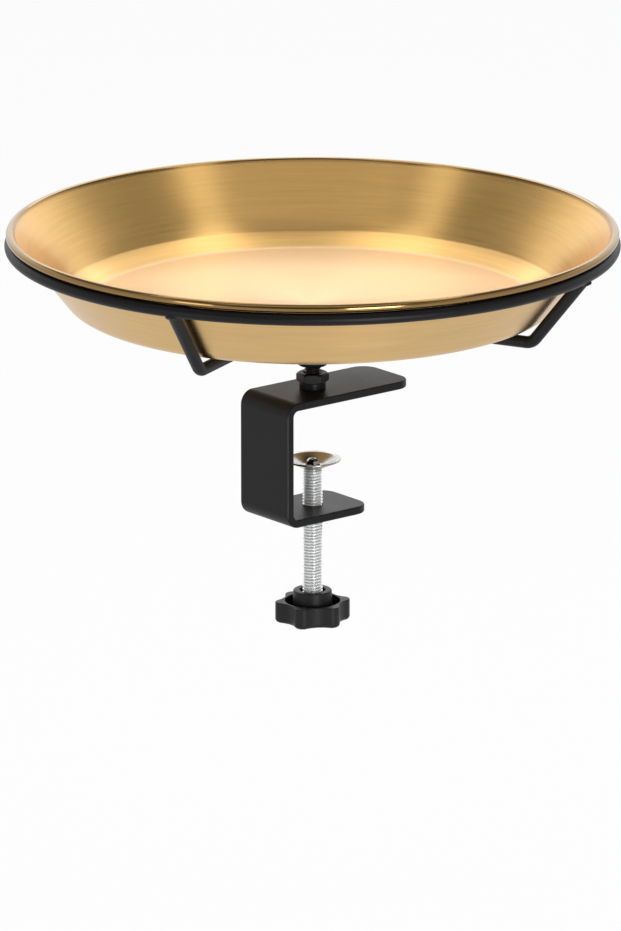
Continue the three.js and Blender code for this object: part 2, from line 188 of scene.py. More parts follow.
# Clamp screw and its peened head
SCREW_RADIUS = SCREW_HIGH.x
SCREW_PITCH = 1.5 * MM
SCREW_CHAMFER = 1 * MM
SHOULDER = PAD_BOTTOM - FIT_GAP
SPIGOT_RADIUS = 3 * MM
PEEN_BOTTOM = PAD_BOTTOM + PAD_SHEET + FIT_GAP
PEEN_TOP = SCREW_HIGH.z + PAD_SWELL
PEEN_RADIUS = 3.9 * MM
PEEN_EDGE = 1.2 * MM
PEEN_FACETS = 6
PEEN_SHARP = math.radians(8)
# From the head's edge in to its dimple, as (share of the radius, share of the height above the edge)
PEEN_FORM = [(1.0, 0.0), (0.78, 0.55), (0.46, 1.0), (0.36, 1.0), (0.2, 0.65), (0.0, 0.6)]

# Star knob and its bush
KNOB_LOBES = 6
KNOB_ANGLE = math.radians(31)
KNOB_TIP = 18.6 * MM
KNOB_VALLEY = 14.9 * MM
KNOB_LOBE = 4.2 * MM
LOBE_STEPS = 28
VALLEY_STEPS = 16
KNOB_EDGE = 2 * MM
KNOB_LIP = 0.5 * MM              # small rounding of the star's upper edge
KNOB_EDGE_STEPS = 6
KNOB_DIMPLE = 0.4 * MM           # depth of the shallow hollow underneath
KNOB_RECESS = 13.65 * MM
RECESS_EDGE = 0.3 * MM
RECESS_CORNER = 1.0 * MM
KNOB_FLOOR = KNOB_LOW.z + 3.5 * MM
KNOB_RIM = KNOB_HIGH.z - 5.5 * MM
HUB_RADIUS = 9.5 * MM
HUB_FOOT = 10 * MM
HUB_EDGE = 0.7 * MM
MOUTH_RADIUS = 6.3 * MM
MOUTH_EDGE = 0.4 * MM
POCKET_RADIUS = 7.8 * MM
POCKET_BOTTOM = BUSH_LOW.z - FIT_GAP
POCKET_TOP = BUSH_HIGH.z + FIT_GAP
BUSH_BORE = SCREW_RADIUS + 0.1 * MM
BUSH_FOOT_EDGE = 0.4 * MM
BUSH_TOP_EDGE = 0.5 * MM

# Colours of the finishes; a pair is the darker and the lighter end of a mottled tone
# Painted reflection: upward faces take the deeper inside tone, which stands in for gold reflected in gold
GOLD_INSIDE_PAINTED_BOUNCE = ((0.645, 0.388, 0.126), (0.735, 0.456, 0.160))
GOLD_OUTSIDE = ((0.575, 0.380, 0.165), (0.645, 0.434, 0.197))
GOLD_CLOUD = (0.70, 0.440, 0.155)
# Painted highlight: the floor's upper face is paler, standing in for the broad highlight of the lamps behind
GOLD_FLOOR_PAINTED_HIGHLIGHT = (0.74, 0.530, 0.305)
# Painted dark reflection: the rim is darkened to stand in for the dark surroundings it reflects
GOLD_RIM_PAINTED_DARK_REFLECTION = (0.27, 0.165, 0.062)
COAT_TONES = ((0.0040, 0.0040, 0.0046), (0.0075, 0.0075, 0.0083))
COAT_WORN = (0.030, 0.030, 0.032)
OXIDE_TONES = ((0.003, 0.003, 0.0034), (0.007, 0.0068, 0.0068))
OXIDE_WORN = (0.022, 0.0215, 0.021)
ZINC_TONES = ((0.90, 0.92, 0.92), (0.97, 0.98, 0.97))
# Painted shade: the thread's roots are darkened where shade falls between the turns
ZINC_ROOT_PAINTED_SHADE = (0.44, 0.45, 0.455)
NICKEL_TONES = ((0.345, 0.335, 0.32), (0.42, 0.412, 0.40))
NYLON_TONES = ((0.0065, 0.0065, 0.0078), (0.0105, 0.0105, 0.012))
NYLON_WORN = (0.035, 0.035, 0.037)

# Studio
FLOOR_LEVEL = -360 * MM
FLOOR_SIZE = 60.0
FLOOR_COLOUR = (0.92, 0.92, 0.92, 1)
FLOOR_LIFT = 0.94                # how far the floor is lifted to white where it is seen
AT_DISH = (0, 0, 0.06)           # where lamps aim, as (right, ahead, up) in the view's level axes
AT_CLAMP = (0, 0, -0.05)
DOME_STRENGTH = 1.6
DOME_LEVELS = [(0.0, 0.7), (0.2, 1.0), (0.42, 1.0), (0.58, 0.28), (1.0, 0.28)]   # (height, brightness)
FACING_LEVELS = [(-0.9, 0.08), (-0.5, 0.55), (0.3, 0.6), (0.95, 1.0)]            # (facing, brightness)


# Mesh helpers

def swings(sweep, steps):
    """Angles from 0 to a sweep in equal steps, both ends included."""
    return [sweep * k / steps for k in range(steps + 1)]


def heading(angle):
    """A level direction at an angle from +X."""
    return Vector((math.cos(angle), math.sin(angle), 0))


def arc(centre, radius, start, end, steps):
    """Points of an arc in a profile of (radius, height) pairs, both ends included."""
    angles = [start + swing for swing in swings(end - start, steps)]
    return [(centre[0] + radius * math.cos(a), centre[1] + radius * math.sin(a)) for a in angles]


def rounded(corners, steps=6, closed=False):
    """A profile through (radius, height, rounding) corners, each an arc that touches both of its sides."""
    points = []
    count = len(corners)
    for i, (r, z, rounding) in enumerate(corners):
        here = Vector((r, z))
        if rounding == 0 or (not closed and i in (0, count - 1)):
            points.append((r, z))
            continue
        before = (Vector(corners[i - 1][:2]) - here).normalized()
        after = (Vector(corners[(i + 1) % count][:2]) - here).normalized()
        half = before.angle(after) / 2
        centre = here + (before + after).normalized() * rounding / math.sin(half)
        first = here + before * rounding / math.tan(half) - centre
        last = here + after * rounding / math.tan(half) - centre
        start = math.atan2(first.y, first.x)
        sweep = (math.atan2(last.y, last.x) - start + math.pi) % TURN - math.pi
        points += arc(centre, rounding, start, start + sweep, steps)
    return points


def fill_out(profile, longest):
    """Adds points on a profile's long straight stretches."""
    filled = [profile[0]]
    for start, end in zip(profile, profile[1:]):
        steps = max(1, math.ceil(math.dist(start, end) / longest))
        filled += [tuple(Vector(start).lerp(Vector(end), k / steps)) for k in range(1, steps + 1)]
    return filled


def loft(rings, closed=False):
    """Vertices and faces that join rings of points in turn; a ring of one point closes an end."""
    verts = [point for ring in rings for point in ring]
    starts = [sum(len(ring) for ring in rings[:i]) for i in range(len(rings))]
    faces = []
    for i in range(len(rings) if closed else len(rings) - 1):
        j = (i + 1) % len(rings)
        low, high = len(rings[i]), len(rings[j])
        for k in range(max(low, high)):
            corners = [starts[i] + k % low, starts[i] + (k + 1) % low,
                       starts[j] + (k + 1) % high, starts[j] + k % high]
            faces.append(list(dict.fromkeys(corners)))
    return verts, [face for face in faces if len(face) > 2]


def level_ring(angles, radius, z):
    """A level circle about the axis, with its points at the given angles."""
    return [Vector((radius * math.cos(a), radius * math.sin(a), z)) for a in angles]


def circle(radius, z, segments):
    if radius < POINT_SIZE:
        return [Vector((0, 0, z))]
    return level_ring(swings(TURN, segments)[:-1], radius, z)


def revolve(profile, segments=96, closed=False):
    return loft([circle(r, z, segments) for r, z in profile], closed)


def turned(mesh, angle):
    matrix = Matrix.Rotation(angle, 3, "Z")
    return [matrix @ Vector(v) for v in mesh[0]], mesh[1]


def piece(name, mesh, body, slot, replaces=(), sharp=SHARP):
    """A smooth shaded piece that rides on a body and takes the finish of a material slot."""
    data = bpy.data.meshes.new(name)
    data.from_pydata([tuple(v) for v in mesh[0]], [], mesh[1])
    shell = bmesh.new()
    shell.from_mesh(data)
    bmesh.ops.remove_doubles(shell, verts=shell.verts, dist=MERGE_DISTANCE)
    bmesh.ops.recalc_face_normals(shell, faces=shell.faces)
    shell.to_mesh(data)
    shell.free()
    data.shade_smooth()
    data.set_sharp_from_angle(angle=sharp)
    made = bpy.data.objects.new(name, data)
    bpy.context.scene.collection.objects.link(made)
    data.materials.append(FINISHES[slot])
    weighted = made.modifiers.new("weighted normals", "WEIGHTED_NORMAL")
    weighted.keep_sharp = True
    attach(made, body)
    if replaces:
        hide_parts(*replaces)
    return made


# Finishes

def add_node(tree, kind, inputs, **settings):
    """A node with these settings, whose inputs are linked to sockets or set to values."""
    node = tree.nodes.new(kind)
    for name, value in settings.items():
        setattr(node, name, value)
    for name, value in inputs.items():
        if isinstance(value, bpy.types.NodeSocket):
            tree.links.new(value, node.inputs[name])
        else:
            node.inputs[name].default_value = value
    return node


class Finish:
    """A material with its node tree, and short calls that add nodes to it."""

    def __init__(self, name, **constants):
        self.material = bpy.data.materials.new(name)
        self.material.use_nodes = True
        self.tree = self.material.node_tree
        self.shader = self.tree.nodes["Principled BSDF"]
        for socket, value in constants.items():
            self.shader.inputs[socket.replace("_", " ")].default_value = value

    def add(self, kind, inputs, **settings):
        return add_node(self.tree, kind, inputs, **settings)

    def drive(self, socket, value):
        self.tree.links.new(value, self.shader.inputs[socket])

    def place(self):
        return self.add("ShaderNodeTexCoord", {}).outputs["Object"]

    def from_axis(self):
        """The level way from the axis to the place, and the place's height."""
        split = self.add("ShaderNodeSeparateXYZ", {"Vector": self.place()})
        level = self.add("ShaderNodeCombineXYZ", {"X": split.outputs["X"], "Y": split.outputs["Y"]})
        return level.outputs[0], split.outputs["Z"]

    def facing_up(self):
        """From -1 on a surface that faces down to 1 on one that faces up."""
        normal = self.add("ShaderNodeTexCoord", {}).outputs["Normal"]
        return self.add("ShaderNodeSeparateXYZ", {"Vector": normal}).outputs["Z"]

    def noise(self, where, scale, detail=3.0, roughness=0.55):
        inputs = {"Vector": where, "Scale": scale, "Detail": detail, "Roughness": roughness}
        return self.add("ShaderNodeTexNoise", inputs).outputs["Fac"]

    def math(self, operation, a, b):
        return self.add("ShaderNodeMath", {0: a, 1: b}, operation=operation).outputs[0]

    def vector(self, operation, a, b=(0.0, 0.0, 0.0)):
        node = self.add("ShaderNodeVectorMath", {0: a, 1: b}, operation=operation)
        return node.outputs["Value" if operation == "LENGTH" else "Vector"]

    def spread(self, value, low, high, start=0.0, end=1.0):
        """From low to high while a value goes from start to end."""
        inputs = {"Value": value, "From Min": start, "From Max": end, "To Min": low, "To Max": high}
        return self.add("ShaderNodeMapRange", inputs).outputs["Result"]

    def mix(self, share, a, b):
        node = self.add("ShaderNodeMix", {}, data_type="RGBA")
        for name, value in (("Factor", share), ("A", a), ("B", b)):
            kind = "VALUE" if name == "Factor" else "RGBA"
            socket = next(s for s in node.inputs if s.name == name and s.type == kind)
            if isinstance(value, bpy.types.NodeSocket):
                self.tree.links.new(value, socket)
            else:
                socket.default_value = value if kind == "VALUE" else (*value, 1.0)
        return next(s for s in node.outputs if s.type == "RGBA")

    def edges(self, start, end):
        """A share from 0 on flat ground to 1 on outer edges."""
        point = self.add("ShaderNodeNewGeometry", {}).outputs["Pointiness"]
        return self.spread(point, 0.0, 1.0, start, end)

    def bump(self, height, distance, strength):
        inputs = {"Height": height, "Distance": distance, "Strength": strength}
        self.drive("Normal", self.add("ShaderNodeBump", inputs).outputs["Normal"])


def brush_lines(gold, round_scale, across_scale, detail):
    """Noise drawn out round the axis and tight across it."""
    outward, height = gold.from_axis()
    around = gold.vector("MULTIPLY", gold.vector("NORMALIZE", outward), (round_scale, round_scale, 0.0))
    across = gold.math("ADD", gold.vector("LENGTH", outward), height)
    step = gold.add("ShaderNodeCombineXYZ", {"Z": gold.math("MULTIPLY", across, across_scale)})
    return gold.noise(gold.vector("ADD", around, step.outputs[0]), 1.0, detail)


def gold_colour(gold, coarse, floor_highlight_and_dulling, rim_dark_reflection_and_polish):
    """Streaked and a little cloudy gold, with painted light: a deeper gold on upward faces stands in for
    gold reflected in gold, a paler floor is a painted highlight, and a dark rim is a painted dark
    reflection.
    """
    streaks = gold.spread(coarse, 0.0, 1.0, start=0.3, end=0.7)
    cloudy = gold.noise(gold.place(), scale=14.0)
    inside = gold.mix(streaks, *GOLD_INSIDE_PAINTED_BOUNCE)
    outside = gold.mix(streaks, *GOLD_OUTSIDE)
    # Painted reflection: the deeper inside tone on faces that look up, the paler outside tone on faces that
    # look down
    tone = gold.mix(gold.spread(gold.facing_up(), 0.0, 1.0, start=-0.2, end=0.2), outside, inside)
    tone = gold.mix(gold.spread(cloudy, 0.0, 0.25, start=0.4, end=0.7), tone, GOLD_CLOUD)
    # Painted highlight on the floor's upper face
    tone = gold.mix(floor_highlight_and_dulling, tone, GOLD_FLOOR_PAINTED_HIGHLIGHT)
    # Painted dark reflection on the rim
    return gold.mix(rim_dark_reflection_and_polish, tone, GOLD_RIM_PAINTED_DARK_REFLECTION)


def brushed_gold():
    """Spun and brushed round the axis: fine lines run round the dish, so highlights fan out across them."""
    gold = Finish("brushed gold", Metallic=1.0, Anisotropic=0.75, Anisotropic_Rotation=0.25)
    fine = brush_lines(gold, round_scale=9.0, across_scale=3600.0, detail=3.0)
    coarse = brush_lines(gold, round_scale=3.0, across_scale=420.0, detail=4.0)
    radius = gold.vector("LENGTH", gold.from_axis()[0])
    within_floor = gold.spread(radius, 1.0, 0.0, *FLOOR_FADE)
    inner_side = gold.spread(gold.facing_up(), 0.0, 1.0, start=0.0, end=0.5)
    # This mask carries both the floor's painted highlight and its real, duller roughness
    floor_highlight_and_dulling = gold.math("MULTIPLY", within_floor, inner_side)
    rim_dark_reflection_and_polish = gold.spread(radius, 0.0, 1.0, *RIM_FADE)
    gold.drive("Base Color", gold_colour(gold, coarse, floor_highlight_and_dulling, rim_dark_reflection_and_polish))
    rough = gold.math("ADD", gold.spread(fine, 0.25, 0.35), gold.spread(coarse, -0.03, 0.03))
    duller = gold.math("MULTIPLY", floor_highlight_and_dulling, 0.12)
    shinier = gold.math("MULTIPLY", rim_dark_reflection_and_polish, 0.14)
    gold.drive("Roughness", gold.math("ADD", rough, gold.math("SUBTRACT", duller, shinier)))
    tangent = gold.add("ShaderNodeTangent", {}, direction_type="RADIAL", axis="Z")
    gold.drive("Tangent", tangent.outputs["Tangent"])
    gold.bump(fine, distance=0.012 * MM, strength=0.5)
    return gold.material


def powder_coat():
    """Satin black coat with a slight peel and grain, worn paler on outer edges."""
    coat = Finish("black powder coat", Metallic=0.0, Specular_IOR_Level=0.16)
    where = coat.place()
    peel = coat.noise(where, scale=900.0, detail=2.0)
    grain = coat.noise(where, scale=4200.0, detail=2.0)
    patch = coat.noise(where, scale=60.0)
    tone = coat.mix(patch, *COAT_TONES)
    coat.drive("Base Color", coat.mix(coat.edges(0.53, 0.62), tone, COAT_WORN))
    rough = coat.math("ADD", coat.spread(patch, 0.38, 0.46), coat.spread(grain, -0.04, 0.04))
    coat.drive("Roughness", rough)
    height = coat.math("ADD", coat.math("MULTIPLY", peel, 0.7), coat.math("MULTIPLY", grain, 0.3))
    coat.bump(height, distance=0.05 * MM, strength=0.45)
    return coat.material


def black_oxide():
    """Mottled black steel, worn paler on outer edges."""
    oxide = Finish("black oxide", Metallic=0.0, Specular_IOR_Level=0.2)
    where = oxide.place()
    mottled = oxide.noise(where, scale=700.0, detail=4.0)
    grain = oxide.noise(where, scale=2500.0, detail=2.0)
    tone = oxide.mix(mottled, *OXIDE_TONES)
    oxide.drive("Base Color", oxide.mix(oxide.edges(0.54, 0.68), tone, OXIDE_WORN))
    oxide.drive("Roughness", oxide.spread(mottled, 0.30, 0.48))
    oxide.bump(grain, distance=0.03 * MM, strength=0.4)
    return oxide.material


def zinc_plate():
    """Bright plate with painted shade in the roots of the screw's thread."""
    zinc = Finish("bright zinc plate", Metallic=0.5)
    where = zinc.place()
    mottled = zinc.noise(where, scale=500.0, detail=4.0)
    scuff = zinc.noise(where, scale=2600.0, detail=2.0)
    tone = zinc.mix(mottled, *ZINC_TONES)
    radius = zinc.vector("LENGTH", zinc.from_axis()[0])
    root = SCREW_RADIUS - 0.6 * SCREW_PITCH
    crest = SCREW_RADIUS - 0.2 * SCREW_PITCH
    # Painted shade, from the roots up towards the crests
    clear_of_root_shade = zinc.spread(radius, 0.0, 1.0, root, crest)
    zinc.drive("Base Color", zinc.mix(clear_of_root_shade, ZINC_ROOT_PAINTED_SHADE, tone))
    rough = zinc.math("ADD", zinc.spread(mottled, 0.20, 0.30), zinc.spread(scuff, -0.05, 0.05))
    zinc.drive("Roughness", rough)
    zinc.bump(scuff, distance=0.02 * MM, strength=0.35)
    return zinc.material


def bright_nickel():
    """Bright plate with a light haze and fine scratches along +Y."""
    nickel = Finish("bright nickel", Metallic=1.0)
    where = nickel.place()
    haze = nickel.noise(where, scale=260.0)
    stretched = nickel.vector("MULTIPLY", where, (2600.0, 500.0, 2600.0))
    scratch = nickel.noise(stretched, scale=1.0, detail=2.0)
    nickel.drive("Base Color", nickel.mix(haze, *NICKEL_TONES))
    rough = nickel.math("ADD", nickel.spread(haze, 0.14, 0.22), nickel.spread(scratch, 0.0, 0.06))
    nickel.drive("Roughness", rough)
    nickel.bump(scratch, distance=0.006 * MM, strength=0.2)
    return nickel.material


def moulded_nylon():
    """Grained black plastic, worn paler on outer edges."""
    nylon = Finish("moulded black nylon", Metallic=0.0, Specular_IOR_Level=0.2)
    where = nylon.place()
    grain = nylon.noise(where, scale=3200.0)
    patch = nylon.noise(where, scale=180.0)
    tone = nylon.mix(patch, *NYLON_TONES)
    nylon.drive("Base Color", nylon.mix(nylon.edges(0.54, 0.66), tone, NYLON_WORN))
    rough = nylon.math("ADD", nylon.spread(patch, 0.38, 0.50), nylon.spread(grain, -0.06, 0.06))
    nylon.drive("Roughness", rough)
    nylon.bump(grain, distance=0.012 * MM, strength=0.5)
    return nylon.material


FINISHES = {
    "dish_metal": brushed_gold(),
    "black_coat": powder_coat(),
    "black_hardware": black_oxide(),
    "zinc_plate": zinc_plate(),
    "bright_nickel": bright_nickel(),
    "knob_plastic": moulded_nylon(),
}


# Dish

def dish_wall_slant(corner, bead):
    """Angle of the wall from the vertical: its inner face touches the corner's inner arc and the bead."""
    run, rise = bead[0] - corner[0], bead[1] - corner[1]
    reach = (DISH_CORNER - SHEET + BEAD_RADIUS) / math.hypot(run, rise)
    return math.acos(reach) - math.atan2(rise, run)


def creased_corner(corner, slant):
    """The corner's inner face: a cove, a conical band, a crease, and a slight bend into the wall."""
    wall_foot = Vector(corner) + Vector((math.cos(slant), -math.sin(slant))) * (DISH_CORNER - SHEET)
    along = Vector((math.sin(slant), math.cos(slant)))
    bend_top = wall_foot + along * (CREASE_LIFT + EASE_RADIUS * EASE)
    bend_centre = bend_top + Vector((-math.cos(slant), math.sin(slant))) * EASE_RADIUS
    bend = arc(bend_centre, EASE_RADIUS, -slant - EASE, -slant, steps=8)
    steepness = QUARTER - slant - EASE - CREASE
    floor = DISH_LOW.z + SHEET
    band_foot = floor + COVE_RADIUS * (1 - math.cos(steepness))
    band_run = (bend[0][1] - band_foot) / math.tan(steepness)
    cove_centre = (bend[0][0] - band_run - COVE_RADIUS * math.sin(steepness), floor + COVE_RADIUS)
    return arc(cove_centre, COVE_RADIUS, -QUARTER, steepness - QUARTER, steps=20) + bend


def make_dish():
    """One sheet: flat floor, round corner, conical wall, and a rim curled outwards until nearly closed."""
    corner = (FLOOR_RADIUS, DISH_LOW.z + DISH_CORNER)
    bead = (DISH_HIGH.x - BEAD_RADIUS, DISH_HIGH.z - BEAD_RADIUS)
    slant = dish_wall_slant(corner, bead)
    inner_bead = BEAD_RADIUS - SHEET
    back_at_wall = math.acos(inner_bead / BEAD_RADIUS) - TURN + CURL_GAP
    curl_start = math.pi - slant
    curl_end = curl_start + back_at_wall
    edge_radius = (BEAD_RADIUS + inner_bead) / 2
    edge = (bead[0] + edge_radius * math.cos(curl_end), bead[1] + edge_radius * math.sin(curl_end))
    inside = [
        (0, DISH_LOW.z + SHEET),
        *creased_corner(corner, slant),
        *arc(bead, BEAD_RADIUS, curl_start, curl_end, steps=44),
    ]
    cut_edge = arc(edge, SHEET / 2, curl_end, curl_end - math.pi, steps=6)[1:-1]
    outside = [
        *arc(bead, inner_bead, curl_end, curl_start, steps=32),
        *arc(corner, DISH_CORNER, -slant, -QUARTER, steps=24),
        (0, DISH_LOW.z),
    ]
    spaced = fill_out(inside + cut_edge + outside, LONGEST_STEP)
    piece("dish", revolve(spaced, LARGE_SEGMENTS), "dish", "dish_metal", ["dish"])


# Wire holder

def make_ring():
    section = arc((RING_RADIUS, RING_LEVEL), WIRE_RADIUS, 0, TURN, WIRE_SIDES)[:-1]
    hoop = revolve(section, LARGE_SEGMENTS, closed=True)
    piece("holder_ring", hoop, "holder", "black_coat", ["holder_ring"])


def arm_path():
    """Centre line of an arm as (radius, height) points, and the angle of its upper leg."""
    climb = math.atan2(RING_LEVEL - ARM_LEVEL, RING_RADIUS - KNEE_RADIUS)
    bend_start = KNEE_RADIUS - ARM_BEND * math.tan(climb / 2)
    bend_centre = (bend_start, ARM_LEVEL + ARM_BEND)
    bend = arc(bend_centre, ARM_BEND, -QUARTER, climb - QUARTER, ARM_BEND_STEPS)
    return [(BOSS_RADIUS, ARM_LEVEL), *bend, (RING_RADIUS, RING_LEVEL)], climb


def leg_axes(slope):
    """The directions along an arm of that slope and up across it."""
    along = Vector((math.cos(slope), 0, math.sin(slope)))
    up = Vector((-math.sin(slope), 0, math.cos(slope)))
    return along, up


def wire_section(points):
    """(rise, side) offsets of points round an arm's wire."""
    angles = swings(TURN, points)[:-1]
    return [(WIRE_RADIUS * math.cos(a), WIRE_RADIUS * math.sin(a)) for a in angles]


def arm_mesh():
    """A bent wire whose ends are cut to saddle the boss and the ring."""
    path, climb = arm_path()
    slopes = [0.0, *swings(climb, ARM_BEND_STEPS), climb]
    rings = []
    for i, ((r, z), slope) in enumerate(zip(path, slopes)):
        along, up = leg_axes(slope)
        ring = []
        for rise, side in wire_section(WIRE_SIDES):
            point = Vector((r, side, z)) + up * rise
            if i == 0:
                point += along * (math.sqrt(BOSS_RADIUS ** 2 - side ** 2) - BOSS_RADIUS)
            if i == len(path) - 1:
                point -= along * math.sqrt(max(0.0, WIRE_RADIUS ** 2 - rise ** 2))
            ring.append(point)
        rings.append(ring)
    first = [sum(rings[0], Vector()) / WIRE_SIDES]
    last = [Vector((RING_RADIUS, 0, RING_LEVEL)) - along * WIRE_RADIUS]
    return loft([first, *rings, last])


def weld_mesh(seam):
    """A rippled bead along a closed seam of points."""
    count = len(seam)
    middle = sum(seam, Vector()) / count
    section = swings(TURN, WELD_SIDES)[:-1]
    rings = []
    for k, point in enumerate(seam):
        ahead = (seam[(k + 1) % count] - seam[k - 1]).normalized()
        outward = point - middle
        outward = (outward - ahead * outward.dot(ahead)).normalized()
        across = ahead.cross(outward)
        bead = WELD_BEAD * (1 + WELD_RIPPLE * abs(math.sin(math.pi * WELD_RIPPLES * k / count)))
        rings.append([point + (outward * math.cos(a) + across * math.sin(a)) * bead for a in section])
    return loft(rings, closed=True)


def ring_seam():
    """Where an upper leg meets the ring."""
    along, up = leg_axes(arm_path()[1])
    seam = []
    for rise, side in wire_section(SEAM_POINTS):
        back = math.sqrt(SEAM_REACH ** 2 - rise ** 2)
        seam.append(Vector((RING_RADIUS, side, RING_LEVEL)) + up * rise - along * back)
    return seam


def boss_seam():
    """Where a lower leg meets the boss."""
    return [Vector((math.sqrt(BOSS_RADIUS ** 2 - side ** 2), side, ARM_LEVEL + rise))
            for rise, side in wire_section(SEAM_POINTS)]


def make_arms():
    arm, ring_weld, boss_weld = arm_mesh(), weld_mesh(ring_seam()), weld_mesh(boss_seam())
    for i in range(ARM_COUNT):
        angle = ARM_ANGLE + TURN * i / ARM_COUNT
        piece(f"arm_{i + 1}", turned(arm, angle), "holder", "black_coat", [f"arm_{i + 1}"])
        piece(f"ring_weld_{i + 1}", turned(ring_weld, angle), "holder", "black_coat")
        piece(f"boss_weld_{i + 1}", turned(boss_weld, angle), "holder", "black_coat")


def make_boss():
    """A turned boss with a blind bore for the stud."""
    profile = rounded([
        (0, BORE_TOP, 0),
        (STUD_BORE, BORE_TOP, BORE_END_EDGE),
        (STUD_BORE, BOSS_LOW.z, BORE_MOUTH_EDGE),
        (BOSS_RADIUS, BOSS_LOW.z, BOSS_EDGE),
        (BOSS_RADIUS, BOSS_HIGH.z, BOSS_TOP_EDGE),
        (0, BOSS_HIGH.z, 0),
    ], steps=8)
    piece("hub_boss", revolve(profile), "holder", "black_coat", ["hub_boss"])


# Threads

def thread_mesh(radius, pitch, bottom, top, chamfer, columns=56):
    """A right-hand thread: one grid wound along the helix, cut flat at both ends."""
    per_turn = len(THREAD_FORM)
    turns = math.ceil((top - bottom) / pitch + 2 * THREAD_OVERRUN)
    rows = turns * per_turn
    verts = []
    for i in range(columns):
        angle = TURN * i / columns
        for row in range(rows):
            share, sunk = THREAD_FORM[row % per_turn]
            z = bottom + pitch * (row // per_turn + share + i / columns - THREAD_OVERRUN)
            limit = radius - chamfer + min(z - bottom, top - z)
            r = max(min(radius - sunk * pitch, limit), radius / 2)
            verts.append((r * math.cos(angle), r * math.sin(angle), z))
    faces = []
    for i in range(columns):
        wrap = i + 1 == columns
        beside = 0 if wrap else (i + 1) * rows
        lift = per_turn if wrap else 0
        for row in range(rows - 1 - lift):
            here = i * rows + row
            there = beside + row + lift
            faces.append([here, there, there + 1, here + 1])
    return cut_flat(verts, faces, bottom, top)


def cut_flat(verts, faces, bottom, top):
    """Cuts an open tube by two level planes and closes it there."""
    tube = bmesh.new()
    made = [tube.verts.new(v) for v in verts]
    for face in faces:
        tube.faces.new([made[v] for v in face])
    for level, up in ((bottom, -1), (top, 1)):
        everything = tube.verts[:] + tube.edges[:] + tube.faces[:]
        cut = bmesh.ops.bisect_plane(tube, geom=everything, plane_co=(0, 0, level), plane_no=(0, 0, up),
                                     clear_outer=True)
        rim = [e for e in cut["geom_cut"] if isinstance(e, bmesh.types.BMEdge)]
        bmesh.ops.holes_fill(tube, edges=rim, sides=0)
    loose = [v for v in tube.verts if not v.link_faces]
    bmesh.ops.delete(tube, geom=loose, context="VERTS")
    tube.verts.index_update()
    points = [v.co.copy() for v in tube.verts]
    shapes = [[v.index for v in f.verts] for f in tube.faces]
    tube.free()
    return points, shapes


# Stud and jam nut

def make_stud():
    """A round collar on the top flange and the threaded stud that stands on it."""
    collar = rounded([
        (0, STUD_LOW.z, 0),
        (STUD_HIGH.x, STUD_LOW.z, COLLAR_FOOT_EDGE),
        (STUD_HIGH.x, COLLAR_TOP, COLLAR_TOP_EDGE),
        (0, COLLAR_TOP, 0),
    ])
    thread = thread_mesh(STUD_RADIUS, STUD_PITCH, COLLAR_TOP, STUD_HIGH.z, STUD_CHAMFER, columns=40)
    piece("stud_collar", revolve(collar, segments=72), "clamp", "black_hardware", ["weld_stud"])
    piece("stud_thread", thread, "clamp", "black_hardware", ["weld_stud"])


def hexagon(flat, rounding, per_side=16):
    """A hexagon's outline about the axis, with slightly rounded corners."""
    half_side = TURN / 12
    centre_distance = (flat - rounding) / math.cos(half_side)

    def corner(side):
        middle = NUT_ANGLE + TURN * side / 6
        centre = heading(middle) * centre_distance
        return [Vector(p) for p in arc(centre, rounding, middle - half_side, middle + half_side, steps=4)]

    points = []
    for side in range(6):
        here, following = corner(side), corner(side + 1)
        points += here
        points += [here[-1].lerp(following[0], k / per_side) for k in range(1, per_side)]
    return points


def make_nut():
    """A hex nut: cones cut its corners above and below, so each flat ends in a curved edge."""
    outline = hexagon(NUT_FLAT, NUT_CORNER)
    angles = [math.atan2(p.y, p.x) for p in outline]
    slope = math.tan(NUT_CHAMFER)
    mouth = STUD_BORE + NUT_COUNTERSINK

    def hex_ring(level, sign):
        return [Vector((p.x, p.y, level + sign * (p.length - NUT_FACE) * slope)) for p in outline]

    rings = [
        level_ring(angles, STUD_BORE, NUT_LOW.z + NUT_COUNTERSINK),
        level_ring(angles, mouth, NUT_LOW.z),
        level_ring(angles, NUT_FACE, NUT_LOW.z),
        hex_ring(NUT_LOW.z, 1),
        hex_ring(NUT_HIGH.z, -1),
        level_ring(angles, NUT_FACE, NUT_HIGH.z),
        level_ring(angles, mouth, NUT_HIGH.z),
        level_ring(angles, STUD_BORE, NUT_HIGH.z - NUT_COUNTERSINK),
    ]
    piece("jam_nut", loft(rings, closed=True), "clamp", "black_hardware", ["jam_nut"], NUT_SHARP)


# Clamp bracket

def on_bend(level, start, u):
    """A bend's point at a length u past its start angle, and the way from there to the outer face."""
    angle = start + u / BEND_INSIDE
    way = Vector((math.cos(angle), 0, math.sin(angle)))
    return Vector((BEND_CENTRE, 0, level)) + way * BEND_INSIDE, way


def on_bar(u):
    """The inner face's point at a length u from the top flange's end, and the way to the outer face."""
    if u <= TOP_LENGTH:
        return Vector((TOP_REACH - u, 0, 0)), Vector((0, 0, 1))
    u -= TOP_LENGTH
    if u <= BEND_LENGTH:
        return on_bend(-BEND_INSIDE, QUARTER, u)
    u -= BEND_LENGTH
    if u <= BACK_LENGTH:
        return Vector((BACK_INSIDE, 0, -BEND_INSIDE - u)), Vector((-1, 0, 0))
    u -= BACK_LENGTH
    if u <= BEND_LENGTH:
        return on_bend(JAW_BOTTOM + BEND_INSIDE, math.pi, u)
    u -= BEND_LENGTH
    return Vector((BEND_CENTRE + u, 0, JAW_BOTTOM)), Vector((0, 0, -1))


